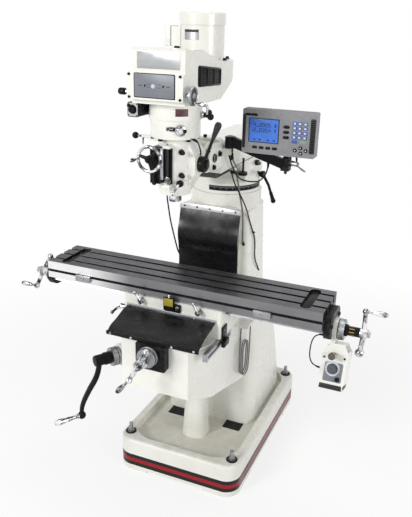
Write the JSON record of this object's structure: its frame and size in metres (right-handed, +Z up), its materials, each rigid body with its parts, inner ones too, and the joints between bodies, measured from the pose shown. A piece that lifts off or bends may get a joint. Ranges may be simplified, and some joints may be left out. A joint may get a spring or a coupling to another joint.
{
  "type": "vertical knee milling machine",
  "caption": "Vertical turret milling machine with a knee, cross saddle and long slotted table, a ram-mounted tilting head, crank handles and a swinging position display.",
  "frame": {"origin": "on the floor, at the middle of the four levelling screws, in the mid-plane of the column", "axes": "+X to the operator's right along the table, +Y from the operator to the rear, +Z up"},
  "size_m": [1.7385, 1.396, 2.064],
  "materials": {
    "white_paint": "semi-gloss enamel on cast iron",
    "black_paint": "satin black enamel",
    "ground_iron": "ground and scraped",
    "cast_grey": "turned",
    "bright_steel": "turned steel",
    "chrome": "polished",
    "bronze": "turned bronze",
    "black_rubber": "matte",
    "grey_cable": "matte sheath",
    "black_plastic": "moulded",
    "yellow_plastic": "moulded",
    "grey_plastic": "light texture"
  },
  "bodies": {
    "base": {"base_casting": "white_paint", "column": "white_paint", "screw_pedestal": "white_paint", "levelling_screws": "bright_steel", "splash_apron": "black_rubber", "head_cord": "black_rubber", "column_cables": "grey_cable"},
    "knee": {"knee_casting": "white_paint", "cross_feed_bracket": "black_paint", "front_cover": "black_rubber", "cable_hank": "grey_cable"},
    "saddle": {"saddle": "white_paint", "feed_nuts": "bronze"},
    "table": {"table": "ground_iron", "end_brackets": "black_paint", "power_feed": "black_paint", "feed_cord": "black_rubber"},
    "table_screw": {"table_screw": "bright_steel", "table_cranks": "chrome"},
    "cross_screw": {"cross_screw": "bright_steel", "cross_crank": "chrome"},
    "knee_crank": {"knee_crank": "black_paint", "knee_dial": "chrome"},
    "turret": {"turret": "white_paint"},
    "ram": {"ram": "white_paint", "display_cord": "black_rubber", "arm_cable": "grey_cable"},
    "display_arm": {"display_arm": "black_paint", "display_leads": "grey_cable"},
    "head": {"quill_housing": "white_paint", "gear_housing": "white_paint", "belt_housing": "white_paint", "motor": "white_paint", "depth_stop": "chrome", "drive_belt": "black_rubber", "drum_switch": "black_paint"},
    "table_lock_left": {"table_lock_left": "chrome"},
    "table_lock_right": {"table_lock_right": "chrome"},
    "saddle_lock": {"saddle_lock": "chrome"},
    "feed_lever": {"feed_lever": "black_plastic"},
    "feed_knob": {"feed_knob": "black_plastic"},
    "feed_button": {"feed_button": "yellow_plastic"},
    "elevating_screw": {"elevating_screw": "bright_steel"},
    "ram_lever": {"ram_lever": "bright_steel"},
    "ram_lock_front": {"ram_lock_front": "chrome"},
    "ram_lock_rear": {"ram_lock_rear": "chrome"},
    "display": {"display": "grey_plastic"},
    "adapter": {"adapter": "white_paint"},
    "motor_rotor": {"motor_rotor": "bright_steel"},
    "spindle_pulley": {"spindle_pulley": "cast_grey"},
    "quill": {"quill": "bright_steel"},
    "spindle": {"spindle": "bright_steel"},
    "quill_lever": {"quill_lever": "black_paint"},
    "feed_wheel": {"feed_wheel": "chrome"},
    "feed_trip": {"feed_trip": "black_paint"},
    "hi_lo_lever": {"hi_lo_lever": "black_plastic"},
    "gear_shift": {"gear_shift": "black_plastic"},
    "brake_lever": {"brake_lever": "chrome"},
    "quill_lock": {"quill_lock": "chrome"},
    "speed_wheel": {"speed_wheel": "chrome"},
    "switch_lever": {"switch_lever": "black_plastic"}
  },
  "joints": [
    {"name": "knee_lift", "type": "slide", "parent": "base", "child": "knee", "axis": [0, 0, 1], "range_m": [-0.106, 0.265], "deforming": ["splash_apron"]},
    {"name": "saddle_cross", "type": "slide", "parent": "knee", "child": "saddle", "axis": [0, 1, 0], "range_m": [-0.148, 0.12], "deforming": ["front_cover"]},
    {"name": "table_travel", "type": "slide", "parent": "saddle", "child": "table", "axis": [1, 0, 0], "range_m": [-0.346, 0.38]},
    {"name": "table_screw_turn", "type": "hinge", "parent": "table", "child": "table_screw", "pos_m": [0, -0.395, 0.91], "axis": [1, 0, 0], "range_deg": [-24500, 26900]},
    {"name": "cross_screw_turn", "type": "hinge", "parent": "knee", "child": "cross_screw", "pos_m": [0, -0.7, 0.788], "axis": [0, 1, 0], "range_deg": [-10500, 8520]},
    {"name": "knee_crank_turn", "type": "hinge", "parent": "knee", "child": "knee_crank", "pos_m": [0, -0.234, 0.67], "axis": [0.545, 0.8384, 0], "range_deg": [-15000, 37500]},
    {"name": "elevating_screw_turn", "type": "hinge", "parent": "knee", "child": "elevating_screw", "pos_m": [0, -0.234, 0.69], "axis": [0, 0, 1], "continuous": true},
    {"name": "table_lock_left_turn", "type": "hinge", "parent": "saddle", "child": "table_lock_left", "pos_m": [-0.132, -0.53, 0.926], "axis": [0, -1, 0], "range_deg": [-45, 45]},
    {"name": "table_lock_right_turn", "type": "hinge", "parent": "saddle", "child": "table_lock_right", "pos_m": [0.132, -0.53, 0.926], "axis": [0, -1, 0], "range_deg": [-45, 45]},
    {"name": "saddle_lock_turn", "type": "hinge", "parent": "saddle", "child": "saddle_lock", "pos_m": [-0.23, -0.502, 0.866], "axis": [1, 0, 0], "range_deg": [-20, 60]},
    {"name": "feed_lever_turn", "type": "hinge", "parent": "table", "child": "feed_lever", "pos_m": [0.6799, -0.48618, 0.83783], "axis": [0, -0.342, -0.9397], "range_deg": [-20, 20]},
    {"name": "feed_knob_turn", "type": "hinge", "parent": "table", "child": "feed_knob", "pos_m": [0.6829, -0.49397, 0.78427], "axis": [0, -0.9397, 0.342], "range_deg": [-135, 135]},
    {"name": "feed_button_push", "type": "slide", "parent": "table", "child": "feed_button", "axis": [0, -0.9397, 0.342], "range_m": [-0.004, 0], "stiffness_N_per_m": 600, "springref_m": 0.003},
    {"name": "turret_swivel", "type": "hinge", "parent": "base", "child": "turret", "pos_m": [0, 0.073, 1.32], "axis": [0, 0, 1], "range_deg": [-45, 45], "deforming": ["head_cord", "column_cables"]},
    {"name": "ram_travel", "type": "slide", "parent": "turret", "child": "ram", "axis": [0, 1, 0], "range_m": [-0.17, 0.1], "deforming": ["arm_cable"]},
    {"name": "ram_lever_turn", "type": "hinge", "parent": "turret", "child": "ram_lever", "pos_m": [0, 0.121, 1.364], "axis": [1, 0, 0], "continuous": true},
    {"name": "ram_lock_front_turn", "type": "hinge", "parent": "turret", "child": "ram_lock_front", "pos_m": [0.134, -0.082, 1.4], "axis": [0, 0, 1], "range_deg": [-30, 60]},
    {"name": "ram_lock_rear_turn", "type": "hinge", "parent": "turret", "child": "ram_lock_rear", "pos_m": [0.14, 0.084, 1.424], "axis": [1, 0, 0], "range_deg": [-90, 90]},
    {"name": "head_nod", "type": "hinge", "parent": "ram", "child": "adapter", "pos_m": [0, -0.345, 1.52], "axis": [1, 0, 0], "range_deg": [-30, 30]},
    {"name": "head_tilt", "type": "hinge", "parent": "adapter", "child": "head", "pos_m": [0, -0.412, 1.52], "axis": [0, 1, 0], "range_deg": [-45, 14]},
    {"name": "display_swing", "type": "hinge", "parent": "ram", "child": "display_arm", "pos_m": [0.13, -0.238, 1.57], "axis": [0, 0, 1], "range_deg": [-25, 25], "deforming": ["display_cord"]},
    {"name": "display_tilt", "type": "hinge", "parent": "display_arm", "child": "display", "pos_m": [0.352, -0.24, 1.61], "axis": [1, 0, 0], "range_deg": [-15, 15], "deforming": ["display_leads"]},
    {"name": "quill_feed", "type": "slide", "parent": "head", "child": "quill", "axis": [0, 0, 1], "range_m": [-0.127, 0]},
    {"name": "spindle_spin", "type": "hinge", "parent": "quill", "child": "spindle", "pos_m": [0, -0.483, 1.4], "axis": [0, 0, 1], "continuous": true},
    {"name": "spindle_pulley_spin", "type": "hinge", "parent": "head", "child": "spindle_pulley", "pos_m": [0, -0.483, 1.8], "axis": [0, 0, 1], "continuous": true},
    {"name": "motor_spin", "type": "hinge", "parent": "head", "child": "motor_rotor", "pos_m": [0, -0.245, 1.9], "axis": [0, 0, 1], "continuous": true},
    {"name": "quill_lever_turn", "type": "hinge", "parent": "head", "child": "quill_lever", "pos_m": [0.1, -0.46, 1.517], "axis": [1, 0, 0], "range_deg": [-1, 222]},
    {"name": "feed_wheel_turn", "type": "hinge", "parent": "head", "child": "feed_wheel", "pos_m": [-0.041, -0.6, 1.551], "axis": [0, -1, 0], "continuous": true},
    {"name": "feed_trip_turn", "type": "hinge", "parent": "head", "child": "feed_trip", "pos_m": [-0.046, -0.58, 1.489], "axis": [0, -1, 0], "range_deg": [-25, 25]},
    {"name": "hi_lo_turn", "type": "hinge", "parent": "head", "child": "hi_lo_lever", "pos_m": [0.0588, -0.5639, 1.656], "axis": [0.5879, -0.8089, 0], "range_deg": [0, 90]},
    {"name": "gear_shift_turn", "type": "hinge", "parent": "head", "child": "gear_shift", "pos_m": [0.11, -0.473, 1.706], "axis": [1, 0, 0], "range_deg": [-35, 35]},
    {"name": "brake_turn", "type": "hinge", "parent": "head", "child": "brake_lever", "pos_m": [-0.098, -0.47, 1.604], "axis": [0, 1, 0], "range_deg": [-20, 20]},
    {"name": "quill_lock_turn", "type": "hinge", "parent": "head", "child": "quill_lock", "pos_m": [0.05, -0.545, 1.453], "axis": [0, -1, 0], "range_deg": [0, 75]},
    {"name": "speed_wheel_turn", "type": "hinge", "parent": "head", "child": "speed_wheel", "pos_m": [0.1, -0.632, 1.791], "axis": [1, 0, 0], "continuous": true},
    {"name": "switch_turn", "type": "hinge", "parent": "head", "child": "switch_lever", "pos_m": [-0.119, -0.6, 1.724], "axis": [0, -1, 0], "range_deg": [-45, 45]}
  ],
  "couplings": [
    {"joint": "table_travel", "follows": "table_screw_turn", "m_per_rad": 0.00080851},
    {"joint": "cross_screw_turn", "follows": "saddle_cross", "rad_per_m": 1236.8},
    {"joint": "knee_lift", "follows": "knee_crank_turn", "m_per_rad": 0.00040425},
    {"joint": "elevating_screw_turn", "follows": "knee_crank_turn", "ratio": 0.5},
    {"joint": "ram_lever_turn", "follows": "ram_travel", "rad_per_m": -22.727},
    {"joint": "quill_lever_turn", "follows": "quill_feed", "rad_per_m": -30.303},
    {"joint": "spindle_pulley_spin", "follows": "spindle_spin", "ratio": 1},
    {"joint": "motor_spin", "follows": "spindle_spin", "ratio": 1.5}
  ]
}
